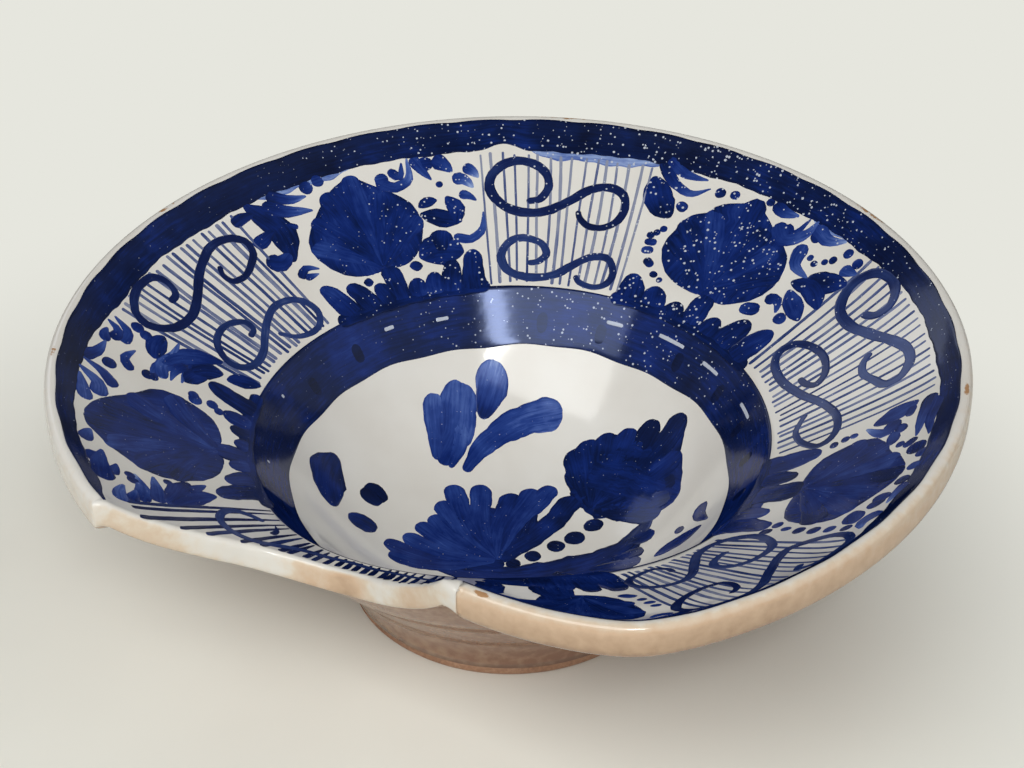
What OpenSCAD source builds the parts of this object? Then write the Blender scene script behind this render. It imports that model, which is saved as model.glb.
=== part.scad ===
// Barber bowl: a wide shaving basin of thrown earthenware with a neck notch in its brim,
// coated in white tin glaze and painted in cobalt blue. Millimetres, +Z up.
// The origin is the middle of the flat base, and the notch faces -Y.

/* [Thrown body] */
// Diameter of the clay across the lip
rim_d = 299; // [270:1:330]
// Height of the clay from the table to the crest of the lip
bowl_h = 96; // [86:1:110]
// Diameter of the flat base
base_d = 109; // [94:1:120]
// Thickness of the brim and of the well's wall
wall_t = 8; // [6:0.5:10]
// Thickness of the clay in the middle of the floor
floor_t = 14; // [8:0.5:18]
// Chamfer round the edge of the base
base_chamfer = 1.5; // [0.5:0.5:3]
// Height of the steep foot under the well
foot_h = 13; // [9:1:16]
// Lean of the foot from upright, degrees
foot_lean = 16; // [8:1:24]

/* [Well and brim] */
// Diameter of the well where the brim starts
well_d = 173; // [160:1:186]
// Height of the lip's crest above the well's mouth
brim_rise = 36; // [30:1:42]
// Width of the straight upper wall of the well, along its slope
well_band_w = 20; // [14:1:24]
// Slope of that wall, degrees
well_slope = 52; // [46:1:58]
// Width of the upturned edge of the brim, seen from above
turn_w = 8.5; // [6:0.5:12]
// Slope of the upturned edge, degrees
turn_slope = 41; // [36:1:50]

/* [Lip] */
// Width of the lip's white top, seen from above
lip_w = 4.5; // [3.5:0.5:7]
// Fall of that top towards the inside
lip_fall = 1.2; // [0.5:0.1:2]
// Height of the lip's outer face
lip_face_h = 11; // [9:0.5:14]
// Rounding of the lip's crest and lower corner
lip_round = 2.5; // [1.5:0.5:3.5]

/* [Neck notch] */
// Depth of the round cut from the rim
notch_depth = 52; // [44:1:56]
// Radius of the round cut
notch_r = 70; // [62:1:80]
// Angle from the middle of the cut to the middle of the pressed shoulder on its right
shoulder_turn = 23; // [21:1:26]
// Distance by which the shoulder's straight lip is drawn in from the rim
shoulder_in = 24; // [19.5:0.5:27]

/* [Glaze] */
// Thickness of the tin glaze
glaze_t = 0.5; // [0.3:0.1:1]
// Height of the bare clay ring above the table
bare_foot_h = 3; // [2:0.5:6]

/* [Painted bands] */
// Thickness of the cobalt paint standing on the glaze
paint_t = 0.2; // [0.1:0.05:0.4]
// Bare gap between a band and the edges of the surface that it is painted on
band_gap = 0.4; // [0.2:0.1:1]

/* [Painted panels] */
// Number of hatched panels, with a flower panel after each
panel_pairs = 5; // [3:1:6]
// Angle from the middle of the notch to the middle of the hatched panel beside it
panel_turn = -13; // [-40:1:40]
// Hatching lines in a panel
hatch_count = 13; // [7:2:17]
// Angle that the hatching covers in a panel, degrees
hatch_span = 27; // [20:1:32]
// Width of a hatching line
hatch_w = 0.9; // [0.6:0.1:1.5]
// Bare strip between a panel's paint and the bands
panel_gap = 1.5; // [1:0.5:3]
// Radius of a scroll's two curls, to the middle of the stroke
curl_r = 6; // [4.5:0.5:7]
// Width of a scroll's stroke
scroll_w = 2.2; // [1.5:0.1:3]
// Distance from the middle of the brim to the middle of each scroll
scroll_step = 12; // [10.5:0.5:14]
// Width of a flower's bud
bud_w = 25; // [18:1:30]
// Place of the bud's middle on the brim, from 0 at the well's mouth to 1 at the rim band
bud_place = 0.53; // [0.45:0.01:0.58]
// Width of a flower's stem
stem_w = 4; // [2.5:0.5:6]
// Length of a leaf at the well's mouth
leaf_l = 15; // [10:1:18]
// Width of a leaf
leaf_w = 6; // [4:0.5:8]
// Diameter of a dot beside a bud
dot_d = 2.6; // [1.6:0.2:3.4]

/* [Painted spray in the well] */
// Diameter of the flower's head
head_d = 40; // [28:1:44]
// Distance of the flower's head from the middle of the well
head_out = 42; // [36:1:44]
// Length of a petal stroke
petal_l = 30; // [22:1:34]
// Width of a petal stroke
petal_w = 11; // [8:0.5:13]
// Length of a leaf in the fan
fan_l = 36; // [28:1:38]
// Width of a leaf in the fan
fan_w = 12; // [9:0.5:14]
// Diameter of a dot in the row beside the stem
bead_d = 5.5; // [3.5:0.5:6.5]

/* [Hidden] */
$fn = 96;

clay = [0.80, 0.60, 0.48];
glaze_white = [0.90, 0.88, 0.84];
cobalt = [0.11, 0.17, 0.45];
pale_cobalt = [0.28, 0.34, 0.58];

// Corner points of the half section, [radius, height]
rim_r = rim_d / 2;
lip_inner = [rim_r - lip_w, bowl_h - lip_fall];
turn_start = lip_inner - turn_w * [1, tan(turn_slope)];
well_mouth = [well_d / 2, bowl_h - brim_rise];
band_foot = well_mouth - well_band_w * [cos(well_slope), sin(well_slope)];
base_edge = [base_d / 2, 0];

// The floor is a power curve, level in the middle and running on the slope of the wall above it
flat_r = 0.06 * well_d;
floor_steps = 7;
floor_power = tan(well_slope) * (band_foot[0] - flat_r) / (band_foot[1] - floor_t);
floor_curve = [for (i = [0:floor_steps - 1])
    let (f = i / floor_steps)
    [flat_r + f * (band_foot[0] - flat_r), floor_t + pow(f, floor_power) * (band_foot[1] - floor_t)]];

function normal(v) = [-v[1], v[0]] / norm(v);
function joint_normal(a, b) = (a + b) / (1 + a * b);
function reversed(p) = [for (i = [len(p) - 1:-1:0]) p[i]];
// A path moved sideways to its left by d, with mitred corners
function beside(p, d) = [for (i = [0:len(p) - 1])
    let (before = normal(i > 0 ? p[i] - p[i - 1] : p[1] - p[0]),
         after = i < len(p) - 1 ? normal(p[i + 1] - p[i]) : before)
    p[i] + d * joint_normal(before, after)];
function arc(c, r, from, to, steps) = [for (i = [0:steps])
    c + r * [cos(from + (to - from) * i / steps), sin(from + (to - from) * i / steps)]];

lip_steps = 5;
lip_under_a = 60;
inside = concat([[0, floor_t]], floor_curve, [band_foot, well_mouth, turn_start, lip_inner]);
lip = concat(
    arc([rim_r - lip_round, bowl_h - lip_round], lip_round, 90, 0, lip_steps),
    arc([rim_r - lip_round, bowl_h - lip_face_h + lip_round], lip_round, 0, -lip_under_a, lip_steps));
under = reversed(beside([band_foot, well_mouth, turn_start], -wall_t));
// Points up the steep foot: the chamfer's edge, the top of the bare ring and the foot's own top
foot_run = [tan(foot_lean), 1];
base_top = base_edge + base_chamfer * foot_run;
glaze_foot = base_edge + bare_foot_h * foot_run;
foot_top = base_edge + foot_h * foot_run;
coated = concat(inside, lip, under, [foot_top, glaze_foot]);
bare = [base_top, base_edge - [base_chamfer, 0], [0, 0]];

// Paint lies on the glaze between two points of the inside, with a hair's clearance
seat_gap = 0.02;
brim_line = [well_mouth, turn_start];
panel_from = well_mouth[0] + panel_gap;
panel_to = turn_start[0] - panel_gap;
panel_mid = (panel_from + panel_to) / 2;
notch_a = -90;
pair_a = 360 / panel_pairs;

// Section across the pressed shoulder: the brim runs straight from the well's mouth to a lip that is
// drawn in, and a hair lower than the rim's, so that the two lips cross cleanly
lip_drop = 0.4;
press_depth = 0.6 * wall_t;
cut_depth = wall_t / 3;
cut_start = wall_t / 4;
cut_lean = 1.2;
mouth_step = 0.5;
draw_in = [-shoulder_in, -lip_drop];
press_line = [well_mouth, lip_inner + draw_in];
press_way = (press_line[1] - press_line[0]) / norm(press_line[1] - press_line[0]);
press_root = beside(press_line, -press_depth)[0];
press_path = concat(press_line, [for (p = lip) p + draw_in], [press_root]);
press_share = (press_line[1][0] - well_mouth[0]) / (lip_inner[0] - well_mouth[0]);
press_turn = press_line[1] - turn_w / cos(turn_slope) * press_way;

// A section carried straight along the shoulder
module along_shoulder(section) {
    rotate(notch_a + shoulder_turn) rotate([90, 0, 0])
        linear_extrude(2 * rim_r, center = true) polygon(section);
}

// All that lies below the shoulder's inside, moved up by g, down to the outer corner of the well's wall.
// It starts further from the well by out.
module under_shoulder(g, out = 0) {
    line = beside([well_mouth + out * press_way, press_line[1] + rim_r * press_way], g);
    low = line[0] + wall_t * [cut_lean, -1];
    far = line[1][0] + rim_r;
    along_shoulder(concat(line, [[far, line[1][1]], [far, low[1]], low]));
}

// All that lies above the brim's inside, moved up by g, from a hair outside the well's mouth
// to the middle of the lip, grown by grow
module over_brim(g, grow = 0) {
    line = beside([well_mouth, turn_start, lip_inner], g - grow);
    from = well_mouth[0] + mouth_step - grow;
    to = rim_r - lip_w / 2 + grow;
    slope = (line[1][1] - line[0][1]) / (line[1][0] - line[0][0]);
    foot = [from, line[0][1] + (from - line[0][0]) * slope];
    rotate_extrude()
        polygon([foot, line[1], line[2], [to, line[2][1]], [to, 2 * bowl_h], [from, 2 * bowl_h]]);
}

// The pressed shoulder, grown by g, from inside the brim's clay upwards
module shoulder(g = 0) {
    intersection() {
        along_shoulder(beside(press_path, g));
        over_brim(-wall_t / 2, g);
    }
}

module notch_cut(g = 0) {
    below = -1;
    cut_out = rim_r - notch_depth + notch_r;
    translate([cut_out * cos(notch_a), cut_out * sin(notch_a), below])
        cylinder(h = bowl_h + 2 * glaze_t - 2 * below, r = notch_r - g);
}

// Thin layer of paint over a stretch of the inside
module paint_layer(line) {
    low = beside(line, glaze_t + seat_gap);
    high = beside(line, glaze_t + seat_gap + paint_t);
    rotate_extrude() polygon(concat(low, reversed(high)));
}

// Part of a line, set in from both ends
function set_in(line, gap) =
    let (way = (line[1] - line[0]) / norm(line[1] - line[0])) [line[0] + gap * way, line[1] - gap * way];

// Paint over a stretch of the brim and the like stretch of the shoulder, each where it lies on top.
// In the crease between them the two lap by a hair.
module brim_layer(line, shoulder_line) {
    seat = glaze_t + seat_gap;
    lap = glaze_t + seat_gap / 2;
    difference() {
        union() {
            difference() {
                paint_layer(line);
                under_shoulder(lap, -wall_t);
            }
            intersection() {
                along_shoulder(concat(
                    beside(shoulder_line, seat), reversed(beside(shoulder_line, seat + paint_t))));
                over_brim(lap);
            }
        }
        notch_cut();
    }
}

// Flat strokes laid on the brim
module on_brim() {
    intersection() {
        brim_layer(set_in(brim_line, panel_gap), set_in([well_mouth, press_turn], panel_gap));
        linear_extrude(bowl_h) children();
    }
}

// A pointed oval along +X from the origin
module leaf(l, w) {
    r = (l * l + w * w) / (4 * w);
    intersection() {
        translate([l / 2, r - w / 2]) circle(r);
        translate([l / 2, w / 2 - r]) circle(r);
    }
}

// Three quarters of a ring
module curl() {
    difference() {
        circle(curl_r + scroll_w / 2);
        circle(curl_r - scroll_w / 2);
        square(curl_r + scroll_w);
    }
}

// An S lying on its side: two curls that open opposite ways
module scroll() {
    translate([0, -curl_r]) curl();
    translate([0, curl_r]) rotate(180) curl();
}

module hatched_panel(i) {
    rotate_to = notch_a + panel_turn + (i - 1) * pair_a;
    color(pale_cobalt) on_brim() rotate(rotate_to) {
        for (k = [0:hatch_count - 1])
            rotate(hatch_span * (k / (hatch_count - 1) - 0.5))
                translate([0, -hatch_w / 2]) square([rim_r, hatch_w]);
        for (side = [-1, 1])
            translate([panel_mid + side * scroll_step, 0]) scroll();
    }
}

module flower_panel(i) {
    rotate_to = notch_a + panel_turn + (i - 0.5) * pair_a;
    leaf_turns = [-78, -52, -26, 26, 52, 78];
    dot_turns = [-110, -85, -60, 60, 85, 110];
    bud_out = bud_place * (turn_start[0] - well_mouth[0]);
    // The panel on the shoulder is drawn shorter
    reach = i == 1 ? press_share : 1;
    color(cobalt) on_brim() rotate(rotate_to) translate([well_mouth[0], 0]) scale([reach, 1]) {
        translate([bud_out, 0]) circle(d = bud_w);
        translate([bud_out, 0]) leaf(bud_w, bud_w / 2);
        translate([0, -stem_w / 2]) square([bud_out, stem_w]);
        for (a = leaf_turns) rotate(a) leaf(leaf_l, leaf_w);
        for (a = dot_turns)
            translate([bud_out, 0]) rotate(a) translate([bud_w / 2 + dot_d, 0]) circle(d = dot_d);
    }
}

// A thrown section with its shoulder pressed in and the notch cut out, grown by g
module pressed(section, g = 0) {
    difference() {
        union() {
            difference() {
                rotate_extrude() polygon(section);
                under_shoulder(-cut_depth - g, cut_start + g);
            }
            shoulder(g);
        }
        notch_cut(g);
    }
}

module thrown_shape() {
    pressed(concat(coated, bare));
}

module clay_body() {
    color(clay) thrown_shape();
}

// The clay's shape grown by the coat, less the clay
module tin_glaze() {
    color(glaze_white) difference() {
        pressed(concat(beside(coated, glaze_t), [[0, glaze_foot[1]]]), glaze_t);
        thrown_shape();
    }
}

module rim_band() {
    color(cobalt)
        brim_layer(
            set_in([turn_start, lip_inner], band_gap), set_in([press_turn, press_line[1]], band_gap));
}

module well_band() {
    color(cobalt) paint_layer(set_in([band_foot, well_mouth], band_gap));
}

// Sprig painted on the floor: a flower's head on its stem, a fan of leaves, three petals and a row of dots
module well_spray() {
    head_a = 62;
    fan_at = well_d * [-0.023, -0.058];
    fan_turns = [105, 130, 155, 180, 205];
    petal_at = well_d * [-0.197, 0.081];
    petal_turns = [65, 95, 125];
    root_gap = 0.1 * petal_l;
    bead_count = 5;
    bead_from = well_d * [0.023, -0.046];
    bead_a = 63;
    bead_step = 1.4 * bead_d;
    head_at = head_out * [cos(head_a), sin(head_a)];
    stem = head_at - fan_at;
    color(cobalt) intersection() {
        paint_layer(concat([[0, floor_t]], floor_curve, [band_foot]));
        linear_extrude(bowl_h) {
            translate(head_at) circle(d = head_d);
            translate(fan_at) rotate(atan2(stem[1], stem[0])) square([norm(stem), stem_w]);
            translate(fan_at) for (a = fan_turns) rotate(a) translate([root_gap, 0]) leaf(fan_l, fan_w);
            translate(petal_at)
                for (a = petal_turns) rotate(a) translate([root_gap, 0]) leaf(petal_l, petal_w);
            translate(bead_from) rotate(bead_a)
                for (k = [0:bead_count - 1]) translate([k * bead_step, -2 * bead_d]) circle(d = bead_d);
        }
    }
}

clay_body();
tin_glaze();
rim_band();
well_band();
well_spray();
for (i = [1:panel_pairs]) {
    hatched_panel(i);
    flower_panel(i);
}
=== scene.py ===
import math
import bpy
import numpy as np
from mathutils import Matrix


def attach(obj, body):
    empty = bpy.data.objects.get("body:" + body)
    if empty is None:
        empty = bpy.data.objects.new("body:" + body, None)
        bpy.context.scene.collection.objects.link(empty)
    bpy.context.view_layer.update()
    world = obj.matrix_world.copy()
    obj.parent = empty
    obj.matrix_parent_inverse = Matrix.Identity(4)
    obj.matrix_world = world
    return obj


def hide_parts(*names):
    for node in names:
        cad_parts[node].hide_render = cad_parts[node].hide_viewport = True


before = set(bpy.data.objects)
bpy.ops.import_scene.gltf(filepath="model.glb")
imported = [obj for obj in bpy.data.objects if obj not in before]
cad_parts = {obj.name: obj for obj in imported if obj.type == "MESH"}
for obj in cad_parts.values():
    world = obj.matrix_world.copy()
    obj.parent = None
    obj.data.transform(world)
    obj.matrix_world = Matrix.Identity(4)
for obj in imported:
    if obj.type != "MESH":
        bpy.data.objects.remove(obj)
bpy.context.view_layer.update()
mm = 0.001
hand = np.random.default_rng(11)          # the painter's unsteady hand, the same every run
print("frame loaded", len(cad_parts), "nodes")


def smoothStep(low, high, x):
    # 0 below low, 1 above high, a cubic ease between
    t = np.clip((x - low)/(high - low), 0, 1)
    return t*t*(3 - 2*t)


def turnFrom(a, b):
    # signed angle from b to a, in degrees between -180 and 180
    return (a - b + 180) % 360 - 180


def curveThrough(points, count, ease=True):
    # cubic through the points: each point's slope is that of its neighbours, along the chord length
    points = np.asarray(points, float)
    chord = np.concatenate([[0], np.cumsum(np.linalg.norm(np.diff(points, axis=0), axis=1))])
    slope = np.gradient(points, chord, axis=0)
    share = np.linspace(0, 1, count)
    share = 0.5 - 0.5*np.cos(np.pi*share) if ease else share
    s = share*chord[-1]
    i = np.clip(np.searchsorted(chord, s, side="right") - 1, 0, len(chord) - 2)
    h = (chord[i + 1] - chord[i])[:, None]
    u = ((s - chord[i])[:, None])/h
    a, b = points[i], points[i + 1]
    return (a*(2*u**3 - 3*u**2 + 1) + b*(3*u**2 - 2*u**3)
            + h*(slope[i]*(u**3 - 2*u**2 + u) + slope[i + 1]*(u**3 - u**2))), share


# the thrown shape, in mm: a deep round well, a sloping brim and a rolled lip
bowl = dict(
    mouthRadius=86.4, mouthHeight=60.9,       # edge between well and brim
    sagAngle=-60, sagSpread=60, sagIn=4.5, sagUp=3.6,    # the mouth stands higher and closer at the front
    borderRadius=145.4, borderHeight=95.8,    # where the brim meets the lip
    curl=0.1, curlPower=6, bandTop=0.6,       # the brim's bend up near the border, and the blue band's rise past it
    shoulderFrom=-43.5, shoulderTo=-65, shoulderGone=-100, noShoulder=10,     # angles of the pressed part of the rim
    shoulderPull=1.15, shoulderSoft=3.5,      # mm inwards for a degree, and its soft start in degrees
    lipReach=4.6, lipCrest=0.68,              # how far the lip stands out and rises
    floorHeight=14.5, flatRadius=10.4, floorRise=30.5, bandFoot=74.2, floorPower=2.7, wallSlope=52,
    wall=9.1, underRadius=91.8,               # brim's thickness straight down, and the corner under the mouth
    coat=0.5, clayUnder=0.6, glazeFoot=3.2)   # the glaze's thickness, the clay's depth under it, the glaze's lower edge


def mouthAt(a):
    # radius and height of the well's mouth at an angle, and the share of the sag there
    sag = np.cos(np.pi/2*np.clip(np.abs(turnFrom(a, bowl["sagAngle"]))/bowl["sagSpread"], 0, 1))**2
    return bowl["mouthRadius"] - bowl["sagIn"]*sag, bowl["mouthHeight"] + bowl["sagUp"]*sag, sag


def borderAt(a):
    # the rim's circle, drawn in along a slanted line at the shoulder right of the notch
    a = turnFrom(np.asarray(a, float), 0)
    past = bowl["shoulderFrom"] - np.maximum(a, bowl["shoulderTo"])
    pull = bowl["shoulderPull"]*(np.sqrt(past**2 + bowl["shoulderSoft"]**2) + past)/2
    pull = pull*(1 - smoothStep(-bowl["shoulderTo"], -bowl["shoulderGone"], -a))
    return bowl["borderRadius"] - np.where(a > bowl["noShoulder"], 0, pull)


def brimRise(t):
    # share of the brim's height at a share t of its width: a cone that curls up a little near the border
    return (1 - bowl["curl"])*t + bowl["curl"]*np.abs(t)**bowl["curlPower"]


def brimPlace(a, t):
    # angle a, and t from 0 at the well's mouth to 1 at the border, straight on past it
    radiusIn, heightIn, _ = mouthAt(a)
    r = radiusIn + (borderAt(a) - radiusIn)*t
    lastSlope = 1 - bowl["curl"] + bowl["curl"]*bowl["curlPower"]
    rise = np.where(t < 1, brimRise(t), 1 + lastSlope*(t - 1))
    z = heightIn + (bowl["borderHeight"] - heightIn)*rise
    z = np.minimum(z, bowl["borderHeight"] + bowl["bandTop"])
    angle = np.radians(a)
    return np.stack([r*np.cos(angle), r*np.sin(angle), z], -1)


def brimScale(a, t):
    # mm for a degree and mm for a unit of t
    radiusIn, heightIn, _ = mouthAt(a)
    radiusOut = borderAt(a)
    return (np.radians(1)*(radiusIn + (radiusOut - radiusIn)*t),
            np.hypot(radiusOut - radiusIn, bowl["borderHeight"] - heightIn))


def wellPlace(x, y):
    # flat middle, then height as a power of the radius, then a straight steep wall up to the mouth
    r, a = np.hypot(x, y), np.degrees(np.arctan2(y, x))
    out = np.clip((r - bowl["flatRadius"])/(bowl["bandFoot"] - bowl["flatRadius"]), 0, 1)
    z = bowl["floorHeight"] + bowl["floorRise"]*out**bowl["floorPower"]
    z = z + np.clip(r - bowl["bandFoot"], 0, None)*math.tan(math.radians(bowl["wallSlope"]))
    lean = (r/bowl["mouthRadius"])**2*mouthAt(a)[2]
    angle = np.radians(a)
    r = r - bowl["sagIn"]*lean
    return np.stack([r*np.cos(angle), r*np.sin(angle), z + bowl["sagUp"]*lean], -1)


def wellTurn(a, r):
    # the well by angle and radius
    return wellPlace(r*np.cos(np.radians(a)), r*np.sin(np.radians(a)))


def wellScale(x, y):
    # the plan is in mm already
    return np.ones_like(x), np.ones_like(x)


def brimHeight(x, y):
    # height of the brim over a point of the plan, with the lip's low crest past the border
    r, a = np.hypot(x, y), np.degrees(np.arctan2(y, x))
    radiusIn, heightIn, _ = mouthAt(a)
    radiusOut = borderAt(a)
    t = (r - radiusIn)/(radiusOut - radiusIn)
    past = np.clip((r - radiusOut)/bowl["lipReach"], 0, 1)
    z = heightIn + (bowl["borderHeight"] - heightIn)*np.clip(brimRise(t), None, 1)
    return z + bowl["lipCrest"]*np.sin(np.pi*past)


# grounds to paint on: places for their two measures, and mm for one of each
brim, well = (brimPlace, brimScale), (wellPlace, wellScale)


def hexColour(code):
    # sRGB hex to linear
    c = np.array([int(code[i:i + 2], 16) for i in (1, 3, 5)])/255
    return (*np.where(c <= 0.04045, c/12.92, ((c + 0.055)/1.055)**2.4).tolist(), 1.0)


def addNode(tree, kind, inputs={}, stops=(), **settings):
    # a node with its settings, a ramp's stops, and its inputs: values, sockets or, for their first output, nodes
    node = tree.nodes.new("ShaderNode" + kind)
    for key, value in settings.items():
        setattr(node, key, value)
    for k, (at, colour) in enumerate(stops):
        element = node.color_ramp.elements[k] if k < 2 else node.color_ramp.elements.new(at)
        element.position, element.color = at, hexColour(colour)
    for key, value in inputs.items():
        if isinstance(value, bpy.types.Node):
            tree.links.new(value.outputs[0], node.inputs[key])
        elif isinstance(value, bpy.types.NodeSocket):
            tree.links.new(value, node.inputs[key])
        else:
            node.inputs[key].default_value = value
    return node


def mathNode(tree, operation, *numbers):
    return addNode(tree, "Math", dict(enumerate(numbers)), operation=operation)


def noiseNode(tree, where, scale, detail, **more):
    return addNode(tree, "TexNoise", {"Vector": where, "Scale": scale, "Detail": detail, **more}).outputs["Fac"]


def rangeNode(tree, value, *limits, **settings):
    # from a low and a high value to 0 and 1, or to a third and a fourth
    return addNode(tree, "MapRange", {"Value": value, **dict(enumerate(limits, 1))}, **settings)


def mixNode(tree, share, first, second):
    return addNode(tree, "Mix", {0: share, 6: first, 7: second}, data_type="RGBA").outputs[2]


def newMaterial(name):
    # an empty material, its nodes, and places on the piece in metres
    material = bpy.data.materials.new(name)
    material.use_nodes = True
    tree = material.node_tree
    tree.nodes.clear()
    return material, tree, addNode(tree, "TexCoord").outputs["Object"]


# Tin-glazed earthenware: a thick opaque white coat, greyish and warm, poured, so it pools and
# thins. It gives a wet gloss with a faint ripple, cream to pink where the clay shows through.
tinGlaze, tree, where = newMaterial("tinGlaze")
thin = addNode(tree, "Attribute", attribute_name="thinCoat").outputs["Fac"]
worn = addNode(tree, "Attribute", attribute_name="wornEdge").outputs["Fac"]
cloud = noiseNode(tree, where, 28.0, 3.0)                       # 36 mm clouds
mottle = noiseNode(tree, where, 260.0, 4.0)                     # 4 mm mottling
chip = noiseNode(tree, where, 190.0, 5.0, Roughness=0.7)        # 5 mm chips
clean = addNode(tree, "ValToRGB", {"Fac": cloud}, [(0.3, "#D9D5CE"), (0.55, "#E0DDD7"), (0.75, "#E4E2DD")])
patchy = mathNode(tree, "MULTIPLY_ADD", mottle, 0.35, -0.175)
shift = mathNode(tree, "ADD", thin, patchy)
buff = addNode(tree, "ValToRGB", {"Fac": shift},
               [(0.0, "#E0DDD7"), (0.25, "#D9CAB6"), (0.5, "#CDB094"), (0.75, "#B5987C"), (1.0, "#84604C")])
thinFac = rangeNode(tree, shift, 0.05, 0.3)
coat = mixNode(tree, thinFac, clean, buff)
wear = mathNode(tree, "MULTIPLY", chip, worn)
wearFac = rangeNode(tree, wear, 0.42, 0.48)
surface = mixNode(tree, wearFac, coat, hexColour("#A87F58"))
gloss = rangeNode(tree, wearFac, 0.0, 1.0, 0.12, 0.75)
ripple = addNode(tree, "Bump", {"Height": mottle, "Strength": 0.04, "Distance": 0.001})
shader = addNode(tree, "BsdfPrincipled", {"Base Color": surface, "Roughness": gloss, "IOR": 1.52, "Normal": ripple})
addNode(tree, "OutputMaterial", {"Surface": shader})

# Earthenware: bare biscuit clay at the foot, pinkish buff and matt with grit.
earthenware, tree, where = newMaterial("earthenware")
grit = noiseNode(tree, where, 900.0, 4.0)                       # 1 mm grit
stain = noiseNode(tree, where, 45.0, 3.0)                       # 22 mm stains
tint = mathNode(tree, "ADD", grit, stain)
half = mathNode(tree, "MULTIPLY", tint, 0.5)
clay = addNode(tree, "ValToRGB", {"Fac": half}, [(0.3, "#7F5A45"), (0.5, "#A47C62"), (0.7, "#BE9A80")])
bump = addNode(tree, "Bump", {"Height": grit, "Strength": 0.3, "Distance": 0.0004})
shader = addNode(tree, "BsdfPrincipled", {"Base Color": clay, "Roughness": 0.85, "Normal": bump})
addNode(tree, "OutputMaterial", {"Surface": shader})

# what every point of a stroke carries: place across it and along it, paint's tone, half width, and its share of white
# specks, which are pinholes and painted glints
brushValues = ("brushSide", "brushAlong", "brushTone", "brushHalf", "brushSpeck")


def cobaltPaint(name, stops, streak, specks):
    # Cobalt oxide brushed on the raw glaze and melted in: it pools dark along a stroke's edges, the
    # hairs leave pale streaks along it, gas leaves white pinholes, and more white specks are painted glints
    # of light caught by raised bubbles. It has the glaze's wet gloss, a little blue, and is dull at low angles.
    material, tree, where = newMaterial(name)
    read = {key: addNode(tree, "Attribute", attribute_name=key).outputs["Fac"] for key in brushValues}
    across = mathNode(tree, "MULTIPLY", read["brushSide"], read["brushHalf"])
    slow = mathNode(tree, "MULTIPLY", read["brushAlong"], 0.09)
    hairs = addNode(tree, "CombineXYZ", {0: slow, 1: across, 2: read["brushTone"]})
    hair = noiseNode(tree, hairs, 1.1, 4.0, Roughness=0.6)      # 1 mm hairs
    pool = noiseNode(tree, where, 110.0, 3.0)                   # 9 mm pools
    edge = mathNode(tree, "ABSOLUTE", read["brushSide"])
    edgeFac = rangeNode(tree, edge, 0.75, 0.97, 0.0, -0.1)
    streaks = mathNode(tree, "MULTIPLY_ADD", hair, streak, -streak/2)
    pools = mathNode(tree, "MULTIPLY_ADD", pool, 0.5, -0.25)
    load = read["brushTone"]
    for change in (streaks, pools, edgeFac):
        load = mathNode(tree, "ADD", load, change)
    blue = addNode(tree, "ValToRGB", {"Fac": load}, stops)
    # white specks over the blue: pinholes laid bare, and painted glints
    cells = addNode(tree, "TexVoronoi", {"Vector": where, "Scale": 1000.0})     # 1 mm cells
    size = addNode(tree, "SeparateColor", {0: cells.outputs["Color"]})
    few = mathNode(tree, "MULTIPLY_ADD", size, 2.6, -2.6 + specks)
    part = mathNode(tree, "MINIMUM", read["brushSpeck"], 1.0)
    over = mathNode(tree, "SUBTRACT", read["brushSpeck"], part)
    limit = mathNode(tree, "MULTIPLY_ADD", part, few, over)     # over 1 lays all bare
    whiteSpeck = mathNode(tree, "SUBTRACT", limit, cells.outputs["Distance"])
    whiteSpeckFac = rangeNode(tree, whiteSpeck, 0.0, 0.12)
    paint = mixNode(tree, whiteSpeckFac, blue, hexColour("#B9BFCC"))
    ripple = addNode(tree, "Bump", {"Height": pool, "Strength": 0.05, "Distance": 0.001})
    lowAngle = addNode(tree, "LayerWeight", {"Blend": 0.5}).outputs["Facing"]
    dull = rangeNode(tree, lowAngle, 0.52, 0.74, 0.5, 0.0)
    shader = addNode(tree, "BsdfPrincipled", {
        "Base Color": paint, "Roughness": 0.12, "IOR": 1.52, "Specular IOR Level": dull,
        "Specular Tint": hexColour("#AEBEEC"), "Normal": ripple})
    addNode(tree, "OutputMaterial", {"Surface": shader})
    return material


cobaltBlue = cobaltPaint("cobaltBlue", [(0.0, "#070F2B"), (0.25, "#0B1A45"), (0.45, "#11276A"), (0.65, "#263F86"),
                                        (0.82, "#4A63A6"), (1.0, "#8FA3CF")], 0.5, 0.62)
cobaltLine = cobaltPaint("cobaltLine", [(0.0, "#0A1230"), (0.35, "#14214F"), (0.6, "#283A6E"), (0.8, "#54608A"),
                                        (1.0, "#8A90A6")], 0.4, 0.5)
print("materials made")


def gridFaces(rows, columns, roundColumns, roundRows=False):
    # quads between neighbouring rows and columns of a grid of points
    i = np.arange(rows if roundRows else rows - 1)[:, None]
    j = np.arange(columns if roundColumns else columns - 1)[None, :]
    nextI, nextJ = (i + 1) % rows, (j + 1) % columns
    return np.stack([i*columns + j, i*columns + nextJ, nextI*columns + nextJ, nextI*columns + j], -1).reshape(-1, 4)


def addObject(name, data):
    made = bpy.data.objects.new(name, data)
    bpy.context.scene.collection.objects.link(made)
    return made


def makePiece(name, points, faces, material, nodes, values={}):
    # a smooth mesh from points in mm, with its values as attributes
    mesh = bpy.data.meshes.new(name)
    mesh.from_pydata(points*mm, [], faces)
    for key, numbers in values.items():
        mesh.attributes.new(key, "FLOAT", "POINT").data.foreach_set("value", np.asarray(numbers, np.float32))
    mesh.polygons.foreach_set("use_smooth", np.ones(len(mesh.polygons), bool))
    mesh.materials.append(material)
    mesh.update()
    piece = addObject(name, mesh)
    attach(piece, "root")
    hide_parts(*nodes)


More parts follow.
